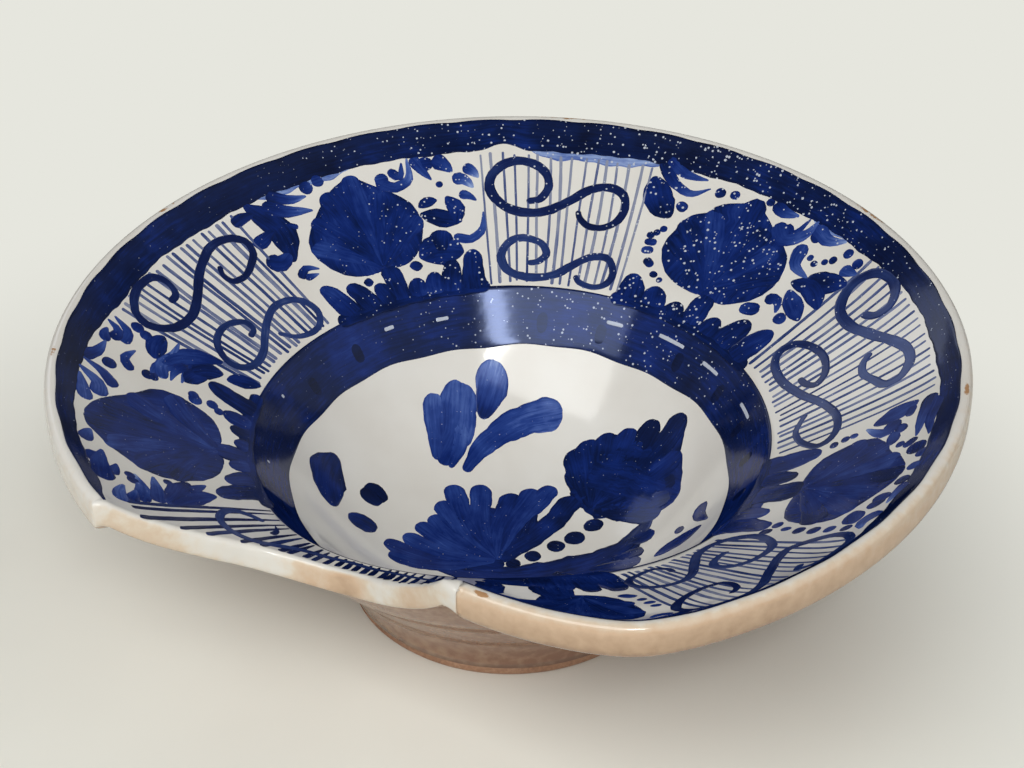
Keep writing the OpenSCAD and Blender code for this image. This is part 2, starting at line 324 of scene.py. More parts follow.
# the round bite for the neck: its edge in plan from the sharp left corner to the shoulder's end
neck = dict(edge=[(-62.2, -136.5), (-50.7, -127), (-39, -116), (-28, -106.5), (-16, -101), (-4, -99), (8, -99.5),
                  (20, -103), (30, -106.5), (39, -110), (46, -113), (52.6, -114.6)],
            topRound=1.8, roundAngles=(15, 30, 45, 60, 90),      # its rounded upper edge, and the face below it
            face=[(0, -3.6), (0, -5.6), (0, -7.4), (-0.25, -8.6), (-0.8, -9.2), (-1.6, -9.4)])
# sections as mm outwards and up: the lip from the border on, and the outer wall
lipSection = np.array([(0.9, 0.42), (1.9, 0.68), (2.9, 0.6), (3.8, 0.1), (4.4, -0.9), (4.6, -2.3), (4.6, -5.0),
                       (4.5, -8.0), (4.2, -9.7), (3.4, -10.8), (2.2, -11.3)])
outside = dict(profile=[(91.8, 54.7), (86, 46.5), (80.5, 39.3), (73, 32), (66, 23.5), (60, 16), (56.8, 9), (55.4, 3.2),
                        (55.0, 1.6), (54.6, 0.7), (53.4, 0.0)], baseRings=(40.0, 20.0))
# rows and columns of the mesh; the columns are denser from the shoulder's end to denseTo
net = dict(wellRows=32, brimRows=30, underRows=16, wallRows=26, shoulderColumns=44, lipColumns=224, neckColumns=96,
           shoulderEnd=-64.2, denseTo=-33, leftCorner=244.5)


def bowlGrid():
    # one section of rows for each column: floor, wall, brim, lip or cut edge, underside, outer wall and base.
    # Columns run round the rim by angle and then along the bite's edge; rows between the mouth and the
    # edge are straight in plan and take their height from the brim.
    around = np.concatenate([np.linspace(net["shoulderEnd"], net["denseTo"], net["shoulderColumns"], endpoint=False),
                             np.linspace(net["denseTo"], net["leftCorner"], net["lipColumns"])])
    r = borderAt(around)
    ends = np.stack([r*np.cos(np.radians(around)), r*np.sin(np.radians(around))], -1)
    bite, _ = curveThrough(neck["edge"], net["neckColumns"])
    tangent = np.concatenate([np.gradient(ends, axis=0), np.gradient(bite, axis=0)])
    tangent /= np.linalg.norm(tangent, axis=1)[:, None]
    out = np.stack([tangent[:, 1], -tangent[:, 0]], -1)
    isCut = np.arange(len(out)) >= len(ends)
    angles = np.concatenate([around, np.degrees(np.arctan2(bite[:, 1], bite[:, 0])) % 360])
    ray = np.stack([np.cos(np.radians(angles)), np.sin(np.radians(angles))], -1)
    last = np.concatenate([ends, bite - neck["topRound"]*out[len(ends):]])

    radii = bowl["mouthRadius"]*np.linspace(0, 1, net["wellRows"])
    well = wellTurn(angles[None, :], radii[:, None])
    mouth = mouthAt(angles)[0][:, None]*ray
    share = np.linspace(0, 1, net["brimRows"])[1:, None, None]
    plan = mouth[None]*(1 - share) + last[None]*share
    brim = np.concatenate([plan, brimHeight(plan[..., 0], plan[..., 1])[..., None]], -1)

    phi = np.radians(neck["roundAngles"])
    cutSection = np.concatenate([
        np.stack([-neck["topRound"]*(1 - np.sin(phi)), -neck["topRound"]*(1 - np.cos(phi))], -1), neck["face"]])
    root = np.concatenate([ends, bite])
    topHeight = np.where(isCut, brimHeight(last[:, 0], last[:, 1]), bowl["borderHeight"])
    shape = np.where(isCut[None, :, None], cutSection[:, None, :], lipSection[:, None, :])
    edgePlan = root[None] + out[None]*shape[..., :1]
    edge = np.concatenate([edgePlan, topHeight[None, :, None] + shape[..., 1:]], -1)

    under = ray*(bowl["underRadius"] - bowl["sagIn"]*mouthAt(angles)[2])[:, None]
    share = np.linspace(0, 1, net["underRows"])[1:, None, None]
    plan = edge[-1:, :, :2]*(1 - share) + under[None]*share
    offset = edge[-1, :, 2] - (brimHeight(edge[-1, :, 0], edge[-1, :, 1]) - bowl["wall"])
    below = brimHeight(plan[..., 0], plan[..., 1]) - bowl["wall"] + offset[None]*(1 - share[..., 0])**6
    underside = np.concatenate([plan, below[..., None]], -1)

    profile = curveThrough(outside["profile"], net["wallRows"], ease=False)[0][1:]
    lean = (profile[:, 1:]/outside["profile"][0][1])**2*mouthAt(angles)[2][None]
    wallR = profile[:, :1] - bowl["sagIn"]*lean
    wall = np.concatenate([ray[None]*wallR[..., None], (profile[:, 1:] + bowl["sagUp"]*lean)[..., None]], -1)
    rings = np.array(outside["baseRings"])[:, None, None]
    base = np.concatenate([ray[None]*rings, np.zeros((len(rings), len(angles), 1))], -1)
    grid = np.concatenate([well, brim, edge, underside, wall, base])
    marks = np.cumsum([len(well), len(brim), len(edge), len(underside), len(wall)])
    return grid, angles, isCut, marks


def skinFaces(rows, columns):
    # quads between the rows, a fan round the floor's single middle point, and the last row's points in pairs
    j = np.arange(columns)
    after = (j + 1) % columns
    fan = np.stack([j + 1, after + 1, np.zeros_like(j)], -1)
    lastRow = 1 + (rows - 2)*columns
    return gridFaces(rows - 1, columns, True)[:, ::-1] + 1, fan, np.stack([lastRow + j, lastRow + after], -1)


def closedBody(grid):
    # the grid with a single point at the middle of the floor and of the base
    ring, fan, last = skinFaces(*grid.shape[:2])
    points = np.concatenate([grid[:1, 0], grid[1:].reshape(-1, 3), [(0.0, 0.0, 0.0)]])
    bottom = np.column_stack([last[:, ::-1], np.full(len(last), len(points) - 1)])
    return points, ring.tolist() + fan.tolist() + bottom.tolist()


grid, columnAngles, cutColumns, rowMarks = bowlGrid()
points, faces = closedBody(grid)
probe = bpy.data.meshes.new("probe")
probe.from_pydata(points, [], faces)
normals = np.zeros(len(points)*3, np.float32)
probe.vertices.foreach_get("normal", normals)
normals = normals.reshape(-1, 3)
bpy.data.meshes.remove(probe)
print("outward", float(normals[-1, 2]) < 0, float(normals[0, 2]) > 0)

rows, columns = grid.shape[:2]
rowOf = np.concatenate([[0], np.repeat(np.arange(1, rows), columns), [rows]])
glazed = (rowOf < rowMarks[3]) | ((points[:, 2] > bowl["glazeFoot"]) & (rowOf < rowMarks[4]))
makePiece("earthenwareBody", points - normals*np.where(glazed, bowl["clayUnder"], 0.0)[:, None], faces, earthenware,
          ["clay_body"])

# where the glaze is thin, from 0 for full white to 1 for the clay's colour: along the lip and more at its front,
# on the cut face and outside; ochre stains as angle, half width and depth; worn places as angle and half width
coatWear = dict(lip=0.2, lipFront=0.85, lipAngle=-40, cut=0.04, cutFoot=0.3,
                outside=0.9, outsideFront=0.1, outsideAngle=-20,
                stains=[(271, 5, 0.6), (263, 3, 0.3), (287, 5, 0.35), (248, 3, 0.25)],
                worn=[(114, 9), (62, 7), (176, 4), (212, 3), (-61, 3), (20, 5)], wornHeight=0.25, wornSpread=0.16)
# the glaze is a closed coat: its outside, its inside turned round, and the edge at the foot
glazeRows = rowMarks[3] + int((grid[rowMarks[3]:rowMarks[4], 0, 2] > bowl["glazeFoot"]).sum())
count = 1 + (glazeRows - 1)*columns
outerFaces, cap, foot = skinFaces(glazeRows, columns)
seam = np.column_stack([foot, foot[:, ::-1] + count])
coatPoints = np.concatenate([points[:count], points[:count] - bowl["coat"]*normals[:count]])
coatFaces = (outerFaces.tolist() + cap.tolist() + (outerFaces[:, ::-1] + count).tolist()
             + (cap[:, ::-1] + count).tolist() + seam[:, ::-1].tolist())
rowIndex = rowOf[:count]
angleOf = np.concatenate([[0], np.tile(columnAngles, glazeRows - 1)])
cutOf = np.concatenate([[False], np.tile(cutColumns, glazeRows - 1)])
edgeShare = np.clip((rowIndex - rowMarks[1] + 1)/(rowMarks[2] - rowMarks[1]), 0, 1)
isOutside = rowIndex >= rowMarks[2]
frontRight = np.cos(np.radians(turnFrom(angleOf, coatWear["lipAngle"])/2))**8
lipCoat = np.where(cutOf, coatWear["cut"] + coatWear["cutFoot"]*edgeShare**4,
                   edgeShare*(coatWear["lip"] + coatWear["lipFront"]*frontRight))
for place, wide, deep in coatWear["stains"]:
    lipCoat = lipCoat + cutOf*deep*smoothStep(0.05, 0.45, edgeShare)*np.exp(-(turnFrom(angleOf, place)/wide)**2)
towardsFront = np.cos(np.radians(turnFrom(angleOf, coatWear["outsideAngle"])))
thinCoat = np.where(isOutside, coatWear["outside"] + coatWear["outsideFront"]*towardsFront, lipCoat)
wornEdge = sum(np.exp(-(turnFrom(angleOf, place)/wide)**2) for place, wide in coatWear["worn"])
wornEdge = np.clip(wornEdge, 0, 1)*np.exp(-((edgeShare - coatWear["wornHeight"])/coatWear["wornSpread"])**2)
wornEdge = np.where(cutOf | (rowIndex < rowMarks[1] - 1), 0, wornEdge)
makePiece("tinGlazeCoat", coatPoints, coatFaces, tinGlaze, ["tin_glaze"],
          {"thinCoat": np.tile(thinCoat, 2), "wornEdge": np.tile(wornEdge, 2)})
print("bowl", len(faces), "faces, glaze", len(coatFaces))

brush = dict(
    # width of a stroke at its start, middle and end, as a share of its full width
    line=(1, 1, 1), dot=(1, 1, 1), petal=(0.3, 0.9, 1.0), comma=(1.0, 0.8, 0.12), leaf=(0.16, 1.0, 0.14),
    lobe=(1.05, 1.0, 0.55), scroll=(0.75, 1.0, 0.6), thinnest=0.05,
    wobble=0.06, slowWave=2.1, fastWave=0.9, fastShare=0.6,      # the edges' waves: shares, and lengths in mm
    drift=0.14, hairShift=300,            # change of tone along a stroke, and how far its hairs may be shifted
    step=1.4, fewest=9, most=90,          # a step's length in mm, and the fewest and most steps
    leastCap=0.2, leastEnd=0.04,          # the round ends' least length in mm, and their least width
    skin=0.6, edgeSink=0.03, sink=0.3)    # share of a coat's height, and depth of its edge and underside in mm
# coats of paint: tone from 0 for the thickest to 1 for the palest and how far it may stray, how high the paint lies
# and the rise for each next stroke, so that laps show, until it starts again; paler is a change of tone along a stroke
coats = dict(
    rimBand=dict(tone=0.2, lift=0.2), wash=dict(tone=0.9, lift=0.13), wellBand=dict(tone=0.3, lift=0.2),
    dab=dict(tone=0.08, lift=0.23), dash=dict(tone=0.5, lift=0.26, bare=5.0),
    fill=dict(tone=0.36, lift=0.15, rise=0.01), wellPetal=dict(tone=0.42, lift=0.2, rise=0.02, paler=0.4),
    fan=dict(tone=0.5, stray=(-0.06, 0.06), lift=0.24, rise=0.01),
    head=dict(tone=0.3, stray=(-0.06, 0.06), lift=0.24, rise=0.01),
    wellDot=dict(tone=0.22, stray=(-0.06, 0.06), lift=0.2, rise=0.015),
    wellStroke=dict(tone=0.38, stray=(-0.06, 0.06), lift=0.2, rise=0.015),
    hatch=dict(stray=(-0.15, 0.13), lift=0.15, paler=0.12), scroll=dict(tone=0.42, stray=(-0.12, 0.12), lift=0.2),
    notchLine=dict(tone=0.28, stray=(-0.12, 0.12), lift=0.15),
    bud=dict(tone=0.42, lift=0.2), stem=dict(tone=0.36, lift=0.22), foot=dict(tone=0.3, lift=0.2),
    petal=dict(tone=0.43, stray=(-0.07, 0.07), lift=0.21, rise=0.008),
    lobe=dict(tone=0.38, stray=(-0.08, 0.08), lift=0.21, rise=0.01),
    stroke=dict(tone=0.42, stray=(-0.1, 0.12), lift=0.16, rise=0.015, again=8),
    comma=dict(tone=0.42, stray=(-0.1, 0.12), lift=0.16, rise=0.015, again=8, paler=0.35))
# white specks, pinholes and painted glints: how many lie away from the back, the back's angle, and the degrees from it
# at which they are few
pinholesAndGlints = dict(few=0.35, backAngle=95, spread=90/1.3)
# points across a stroke, close together at its edges
acrossTop = np.array([-1, -0.94, -0.82, -0.45, 0, 0.45, 0.82, 0.94, 1])
acrossWide = np.concatenate([[-1, -0.97], np.linspace(-0.92, 0.92, 21), [0.97, 1]])


def ribbon(place, middle, toLow, toHigh, lift, ending, along, tone, speck, roundEnds=False, across=acrossTop):
    # points across each step of a path, from its low side to its high side, a flat skin of paint with
    # round edges over the glaze, closed by two points sunk under it
    side = np.concatenate([across, [0.5, -0.5]])[None, :]
    offset = np.where(side[..., None] < 0, toLow[:, None, :], toHigh[:, None, :])*np.abs(side)[..., None]
    u, v = middle[:, None, 0] + offset[..., 0], middle[:, None, 1] + offset[..., 1]
    base = place(u, v)
    step = 0.02                           # along each measure, to find the surface's direction
    du, dv = place(u + step, v) - base, place(u, v + step*0.1) - base
    normal = np.cross(du, dv)
    normal /= np.linalg.norm(normal, axis=-1)[..., None] + 1e-12
    normal *= np.where(normal[..., 2:] < 0, -1, 1)
    crown = np.sqrt(np.clip(1 - side**8, 0, 1))*ending[:, None]
    height = np.where(np.arange(side.size) < across.size, brush["skin"]*lift*crown - brush["edgeSink"], -brush["sink"])
    points = base + normal*height[..., None]
    rows, columns = points.shape[:2]
    faces = gridFaces(rows, columns, True, roundEnds).tolist()
    if not roundEnds:
        faces += [np.arange(columns)[::-1].tolist(), ((rows - 1)*columns + np.arange(columns)).tolist()]
    halfWidth = np.linalg.norm(place(u[:, -2], v[:, -2]) - place(u[:, -1], v[:, -1]), axis=-1)
    full = np.ones_like(u)
    return dict(points=points.reshape(-1, 3), faces=faces,
                brushSide=(full*side).ravel(), brushAlong=(full*along[:, None]).ravel(),
                brushTone=(full*tone[:, None]).ravel(), brushHalf=(full*halfWidth[:, None]).ravel(),
                brushSpeck=(full*speck[:, None]).ravel())


def unsteady(value, a, *waves):
    # a value with waves along a, each by its size, rate and start
    for size, rate, start in waves:
        value = value + size*np.sin(a*rate + start)
    return value


def taper(x, run):
    # a tenth at both ends, and full after a run
    return np.clip(np.minimum(x - x[0], x[-1] - x)/run, 0.1, 1)


def band(coat, place, a, low, high, ending, *values, **options):
    # paint between two edges that run round the bowl
    middle = np.stack([a, (low + high)/2], -1)
    reach = np.stack([np.zeros_like(a), (high - low)/2], -1)
    return ribbon(place, middle, -reach, reach, coats[coat]["lift"], ending, *values, **options)


def speckAt(a):
    # white specks, pinholes and painted glints, crowd at the back of the bowl
    fromBack = np.abs(turnFrom(a, pinholesAndGlints["backAngle"]))*90/pinholesAndGlints["spread"]
    return pinholesAndGlints["few"] + (1 - pinholesAndGlints["few"])*np.cos(np.radians(np.clip(fromBack, 0, 90)))


def stroke(place, scale, kind, width, path, lift, tone, paler=0.0, bare=None):
    # a path through the given points with the brush's width across it, round at both ends; paler is the
    # change of tone along it, and bare makes it a stroke scraped off the paint
    path = np.asarray(path, float).reshape(-1, 2)
    perU, perV = scale(path[:, 0], path[:, 1])
    centre = np.array([perU.mean(), perV.mean()])
    if len(path) == 1:                    # a dab
        path = path + np.array([[-0.5], [0.5]])*np.array([[width/centre[0], 0]])
    length = np.linalg.norm(np.diff(path*centre, axis=0), axis=1).sum()
    steps = int(np.clip(length/brush["step"], brush["fewest"], brush["most"]))
    flat, share = curveThrough(path*centre, steps)
    tangent = np.gradient(flat, axis=0)
    tangent /= np.linalg.norm(tangent, axis=1)[:, None] + 1e-9
    across = np.stack([-tangent[:, 1], tangent[:, 0]], -1)
    start, mid, end = brush[kind]
    bend = 2*mid - (start + end)/2
    wide = start*(1 - share)**2 + 2*bend*share*(1 - share) + end*share**2
    half = 0.5*width*np.clip(wide, brush["thinnest"], None)
    capStart = np.clip(share*length/max(half[1], brush["leastCap"]), 0, 1)
    capEnd = np.clip((1 - share)*length/max(half[-2], brush["leastCap"]), 0, 1)
    ending = np.clip(np.sqrt(1 - (1 - capStart)**2)*np.sqrt(1 - (1 - capEnd)**2), brush["leastEnd"], 1)
    along = share*length
    phase = hand.uniform(0, 6.28, (2, 2))
    waves = np.array([np.sin(along/brush["slowWave"] + p) + brush["fastShare"]*np.sin(along/brush["fastWave"] + q)
                      for p, q in phase])
    sides = half*ending*(1 + brush["wobble"]*waves)
    middle = flat/centre
    local = np.stack(scale(middle[:, 0], middle[:, 1]), -1)
    speck = speckAt(middle[:, 0]) if scale is brimScale else np.full(steps, pinholesAndGlints["few"])
    speck = np.full(steps, bare) if bare else speck
    toneAlong = np.full(steps, tone) + brush["drift"]*(share - 0.5)*hand.choice([-1, 1]) + paler*share
    return ribbon(place, middle, -across*sides[0][:, None]/local, across*sides[1][:, None]/local, lift, ending,
                  along + hand.uniform(0, brush["hairShift"]), toneAlong, speck)


def paintPiece(name, node, material, ribbons):
    # many strokes as one mesh
    count, faces = 0, []
    for part in ribbons:
        faces += [[k + count for k in face] for face in part["faces"]]
        count += len(part["points"])
    makePiece(name, np.concatenate([part["points"] for part in ribbons]), faces, material, [node],
              {key: np.concatenate([part[key] for part in ribbons]) for key in brushValues})


def coatOf(name, k=0, tone=None):
    # what a coat gives its k-th stroke
    coat = coats[name]
    tone = coat["tone"] if tone is None else tone
    if "stray" in coat:
        tone = tone + hand.uniform(*coat["stray"])
    lift = coat["lift"] + coat.get("rise", 0)*(k % coat.get("again", 9))
    return dict(lift=lift, tone=tone, paler=coat.get("paler", 0.0), bare=coat.get("bare"))


def strokesOf(ground, rows, usual, byKind={}, tone=None):
    # a stroke for each row of kind, width and path; byKind gives some kinds a coat of their own
    return [stroke(*ground, kind, width, path, **coatOf(byKind.get(kind, usual), k, tone))
            for k, (kind, width, *path) in enumerate(rows)]


# the blue band under the lip: angle and the height of its lower edge on the brim, and thin washes that run
# down from it as two angles and the height of the foot
rimBand = dict(lower=[(-64.5, 0.975), (-60, 0.95), (-45, 0.97), (-30, 0.975), (-12, 0.965), (-10, 0.95), (0, 0.905),
                      (20, 0.9), (50, 0.89), (60, 0.855), (97, 0.85), (107, 0.835), (118, 0.84), (122, 0.88),
                      (126, 0.845), (165, 0.845), (197, 0.85), (205, 0.88), (215, 0.905), (230, 0.925), (240, 0.935),
                      (245.2, 0.99)], upper=1.012, ends=(-64.5, 245.2), columns=470, endRun=1.5, hairRun=2.5,
               washTop=0.9, washStart=0.89, washRun=7, washColumns=40,
               washes=[(95, 121, 0.795), (143, 167, 0.825), (196, 204, 0.86), (60, 72, 0.83)])
a = np.linspace(*rimBand["ends"], rimBand["columns"])
low = np.interp(a, *np.array(rimBand["lower"]).T)
low = unsteady(low, a, (0.004, 0.31, 1), (0.003, 0.83, 0), (0.002, 2.1, 0))
high = unsteady(rimBand["upper"], a, (0.004, 0.7, 2))
tone = unsteady(coats["rimBand"]["tone"], a, (0.07, 1/9, 0), (0.05, 1/3.1, 0))
bands = [band("rimBand", brimPlace, a, low, high, taper(a, rimBand["endRun"]), a*rimBand["hairRun"], tone, speckAt(a),
              across=acrossWide)]
for fromA, toA, foot in rimBand["washes"]:
    a = np.linspace(fromA, toA, rimBand["washColumns"])
    ending = taper(a, rimBand["washRun"])**0.6
    low = rimBand["washStart"] - (rimBand["washStart"] - foot)*ending
    low = unsteady(low, a, (0.006, 0.7, 0), (0.004, 1.7, 1))
    bands.append(band("wash", brimPlace, a, low, rimBand["washTop"], ending, a*rimBand["hairRun"],
                      np.full_like(a, coats["wash"]["tone"]), speckAt(a)))
paintPiece("rimBand", "rim_band", cobaltBlue, bands)

# the blue band on the well's wall, with darker dabs on it and a row of dashes scraped bare: angle and radius
wellBand = dict(foot=73.6, top=87.2, columns=360, hairRun=1.4, fewer=0.8, dabWidth=8.5, dashWidth=1.5,
                dabs=[(73, 79), (56, 79), (41, 78.6), (28, 79), (14, 79), (97, 78.5), (113, 79), (164, 79.5),
                      (181, 79)],
                dashes=[(154.7, 151.6, 82), (140.8, 137, 81), (96.4, 91.4, 81.4), (81.6, 73.1, 82.4), (66.3, 59.6, 82),
                        (47.2, 40.5, 82), (192.5, 191.3, 82.6), (216.4, 215.3, 80.6)])


def wellTurnAll(a, r):
    # the wall, and the start of the brim above it
    t = (r - bowl["mouthRadius"])/(bowl["borderRadius"] - bowl["mouthRadius"])
    return np.where((r < bowl["mouthRadius"])[..., None], wellTurn(a, r), brimPlace(a, np.clip(t, 0, None)))


def wallScale(a, r):
    # mm for a degree and, up the steep wall, mm for one of radius
    return np.radians(1)*r, np.full_like(r, 1.6)


wall = (wellTurnAll, wallScale)
a = np.linspace(0, 360, wellBand["columns"], endpoint=False)
low = unsteady(wellBand["foot"], np.radians(a), (0.3, 7, 1), (0.2, 19, 0))
tone = unsteady(coats["wellBand"]["tone"], np.radians(a), (0.06, 5, 0), (0.05, 13, 2))
bands = [band("wellBand", wellTurnAll, a, low, wellBand["top"], np.ones_like(a), a*wellBand["hairRun"], tone,
              wellBand["fewer"]*speckAt(a), roundEnds=True, across=acrossWide)]
bands += strokesOf(wall, [("dot", wellBand["dabWidth"], at, r) for at, r in wellBand["dabs"]], "dab")
bands += strokesOf(wall, [("line", wellBand["dashWidth"], fromA, r, (fromA + toA)/2, r, toA, r)
                          for fromA, toA, r in wellBand["dashes"]], "dash")
paintPiece("wellBand", "well_band", cobaltBlue, bands)
print("bands painted")

# the spray in the well, in plan: petals, a fan leaf, a many-petalled head and a long leaf
wellSpray = dict(
    fanRoot=(2, -13),
    fanTips=[(-1.5, 31), (-6.5, 27), (-12, 21.5), (-24, 19), (-32, 13), (-31, 4), (-29.5, -4), (-31, -11), (-31, -20),
        (-33, -29), (-28, -34)],
    headRoot=(17, 27),
    headTips=[(-3, 47), (0, 51.5), (6, 55.5), (14, 58.5), (22.5, 61.5), (33.5, 62.5), (38.5, 51), (42, 44), (44, 36),
        (43, 28.5)],
    fills=[("dot", 35, 19, 41), ("leaf", 34, -1, 38, 12, 40, 28, 39, 46, 33), ("leaf", 24, 16, 24, 20, 38, 23, 60),
        ("leaf", 24, 16, 26, 26, 42, 34, 60), ("leaf", 24, 5, -12, -9, 2, -20, 8),
        ("leaf", 24, 4, -12, -10, -9, -23, -10), ("leaf", 18, 6, -14, -7, -17, -22, -25),
        ("leaf", 16, 5, -10, -2, 8, -5, 20), ("line", 9, 8, 30, 7.5, 12, 4.5, -2, 1, -13)],
    petals=[("petal", 13.5, -39.5, 17.5, -41.5, 30, -48.5, 45.5), ("petal", 8.5, -41.5, 18, -47, 26, -54, 36),
        ("petal", 6, -36.5, 18.5, -38, 26, -42, 36), ("petal", 12, -37, 40.5, -38.5, 48, -40.5, 57.5),
        ("petal", 10.5, -31.8, 20.5, -31.5, 34, -25, 47, -12.5, 56.5)],
    strokes=[("leaf", 16, 40, 27, 38, 10, 27, -5, 12, -19, -15, -28), ("petal", 8, 37, 13, 42, 17, 44, 21),
        ("petal", 8, 36, 4, 42, 7, 46, 11), ("petal", 8, 32, -3, 40, 1, 49, 4),
        ("petal", 9, 22, -9, 32, -11, 43, -15.5), ("dot", 7, 21.5, 19.5), ("dot", 7.4, 19, 11),
        ("dot", 6.5, 15.5, 4.2), ("dot", 6, 11.5, -4.5), ("dot", 5.4, 8, -11.5),
        ("leaf", 12, -63.5, -12, -60, -22, -51, -33), ("dot", 8.5, -48, -11), ("dot", 8, -48, -14),
        ("line", 8.6, -46.5, -30.5, -41.5, -27.3, -37.5, -26), ("comma", 5, 59, 28, 60.5, 22.5, 66.5, 17),
        ("line", 5, 54.5, 16.5, 57, 18.8), ("leaf", 8, 53, 5, 58, 10, 65.5, 15)])
made = strokesOf(well, wellSpray["fills"], "fill")
for key, width, bend in (("fan", 7.8, -0.06), ("head", 9.6, 0.0)):
    for tip in wellSpray[key + "Tips"]:
        root = np.array(wellSpray[key + "Root"])
        bow = (root + tip)/2 + bend*np.array([tip[1] - root[1], root[0] - tip[0]])
        made.append(stroke(*well, "petal", width, [root, bow, tip], **coatOf(key, len(made))))
made += strokesOf(well, wellSpray["petals"], "wellPetal")
made += strokesOf(well, wellSpray["strokes"], "wellStroke", {"dot": "wellDot"})
paintPiece("wellSpray", "well_spray", cobaltBlue, made)
print("spray painted")


def hatchLines(feet, tops, low, high, count, width):
    # thin lines side by side across the brim, each a little unsteady
    share = np.linspace(0, 1, count)
    foot = np.interp(share, np.linspace(0, 1, len(feet)), feet) + hand.uniform(-0.35, 0.35, count)
    top = np.interp(share, np.linspace(0, 1, len(tops)), tops) + hand.uniform(-0.35, 0.35, count)
    return [("line", width*hand.uniform(0.75, 1.25), f, low + hand.uniform(-0.01, 0.02),
             (f + t)/2 + hand.uniform(-0.3, 0.3), (low + high)/2, t, high + hand.uniform(-0.015, 0.01))
            for f, t in zip(foot, top)]


def notchLines(count, fromA, toA, slant, width):
    # lines with full ends, up to the bite's edge where it cuts the brim short
    foot = np.linspace(fromA, toA, count) + hand.uniform(-0.5, 0.5, count)
    top = foot + slant
    edge = np.array(neck["edge"])
    edgeRadius = np.interp(top, np.degrees(np.arctan2(edge[:, 1], edge[:, 0])) % 360, np.hypot(*edge.T))
    radiusIn = mouthAt(top)[0]
    reach = (edgeRadius - neck["topRound"] - 0.5 - radiusIn)/(borderAt(top) - radiusIn)
    reach = np.clip(reach, 0.08, 0.88) - hand.uniform(0, 0.02, count)
    return [("petal", width*hand.uniform(0.8, 1.1), f, 0.02, (f + t)/2, e/2, t, e) for f, t, e in zip(foot, top, reach)]


# hatched panels: thin lines and two scrolls each, as angle and share of the brim's width
hatchedPanels = [
    dict(number=2, tone=0.68, lines=([-13, -37], [-13.3, -36.8], 0.07, 0.97, 17, 1.35),
         scrolls=[("scroll", 3.8, -19.6, .86, -21.3, .92, -20, .962, -16.5, .97, -13, .94, -11.1, .86, -10.9, .77,
             -12.3, .68, -14.8, .615, -18, .65, -21, .72, -24, .81, -26.8, .905, -29.8, .965, -33.5, .97, -36.6, .93,
             -37.3, .85, -35.8, .73, -33, .65, -29.8, .615, -27.6, .635, -27.3, .71, -28.2, .79, -29.9, .84),
             ("scroll", 3.6, -17, .27, -19.8, .285, -22.3, .34, -23, .41, -21.5, .49, -18, .52, -14.8, .50,
             -12.3, .42, -11, .33, -10.9, .23, -12.5, .14, -15.5, .10, -18.5, .115, -21.5, .175, -24.3, .265,
             -27, .36, -30, .425, -33.3, .42, -36, .37, -37, .28, -35.8, .195, -32.8, .15, -29.5, .125, -28, .17,
             -28.2, .25)]),
    dict(number=3, tone=0.68, lines=([54, 20.7], [56, 24.4], 0.05, 0.88, 19, 1.3),
         scrolls=[("scroll", 4.5, 48.2, .655, 46.3, .70, 46, .78, 47.6, .85, 50.5, .875, 53.6, .84, 54.8, .75,
             54, .65, 51, .575, 47, .58, 43, .64, 39, .72, 35.5, .775, 32, .765, 29.8, .70, 29.7, .63, 32, .575,
             35.3, .53, 37.7, .555, 38.8, .605),
             ("scroll", 3.6, 42, .222, 39.6, .24, 38, .285, 39, .34, 42, .375, 45.5, .38, 49, .345, 51.6, .28,
             52, .215, 50, .16, 46.5, .135, 42.5, .147, 38, .19, 34, .255, 30, .325, 26, .365, 22, .365, 19.6, .32,
             19, .27, 20.5, .21, 23.5, .157, 26, .142, 28.7, .172, 30.6, .205)]),
    dict(number=4, tone=0.86, lines=([125.5, 95.8], [126, 98.3], 0.03, 0.83, 16, 1.05),
         scrolls=[("scroll", 4.0, 118.4, .537, 116, .557, 114.7, .625, 115.3, .71, 117.5, .77, 120.3, .785, 123, .75,
             124.6, .68, 124.6, .60, 123, .525, 120, .475, 116.8, .467, 113.5, .497, 110.5, .56, 107.5, .635,
             104.5, .665, 102, .64, 100.7, .56, 101.2, .475, 103.5, .415, 106.3, .41, 108.2, .45, 109, .5),
             ("scroll", 3.5, 117.6, .153, 115.2, .165, 113.7, .21, 114.6, .268, 117, .302, 120, .305, 122.2, .26,
             123.3, .185, 121.8, .105, 118.5, .07, 115, .066, 111, .093, 107.4, .165, 104, .225, 101, .235, 98.9, .18,
             98.5, .105, 100.2, .057, 103.2, .047, 105.5, .065, 106.7, .1)]),
    dict(number=5, tone=0.72, lines=([196, 167], [197, 168.5], 0.04, 0.84, 19, 1.45),
         scrolls=[("scroll", 3.8, 189.5, .665, 187.5, .665, 186.4, .74, 187.3, .81, 190, .83, 193.5, .81, 196, .75,
             196.6, .68, 195.2, .60, 192.5, .545, 189, .535, 185.5, .57, 182, .64, 178.5, .705, 174.7, .75,
             171.2, .735, 169.2, .67, 169.6, .60, 171.6, .55, 174.6, .512, 177, .532, 177.4, .585, 176.5, .64),
             ("scroll", 3.2, 184.7, .24, 182.5, .255, 182.2, .305, 184.2, .352, 187.5, .375, 190.5, .355, 193, .29,
             194, .22, 192.6, .152, 189.5, .12, 186, .132, 182, .187, 178, .25, 174, .284, 170.6, .27, 167.8, .2,
             167.3, .125, 169, .07, 172.5, .05, 176, .078, 179, .155)]),
    dict(number=1, lines=None,
         scrolls=[*notchLines(25, 240.8, 290, 2.6, 2.5),
             ("scroll", 3.6, 246, .125, 243.5, .19, 242.6, .26, 243.5, .33, 246, .385, 250, .40, 253.3, .35,
             255.6, .27, 257.5, .18, 259.6, .135, 263, .1, 268, .065, 273, .085, 279, .12, 283, .2, 286.5, .3,
             289.5, .5, 291.3, .75, 291, .88), ("comma", 2.4, 251.3, .18, 250, .12, 247.5, .085)])]
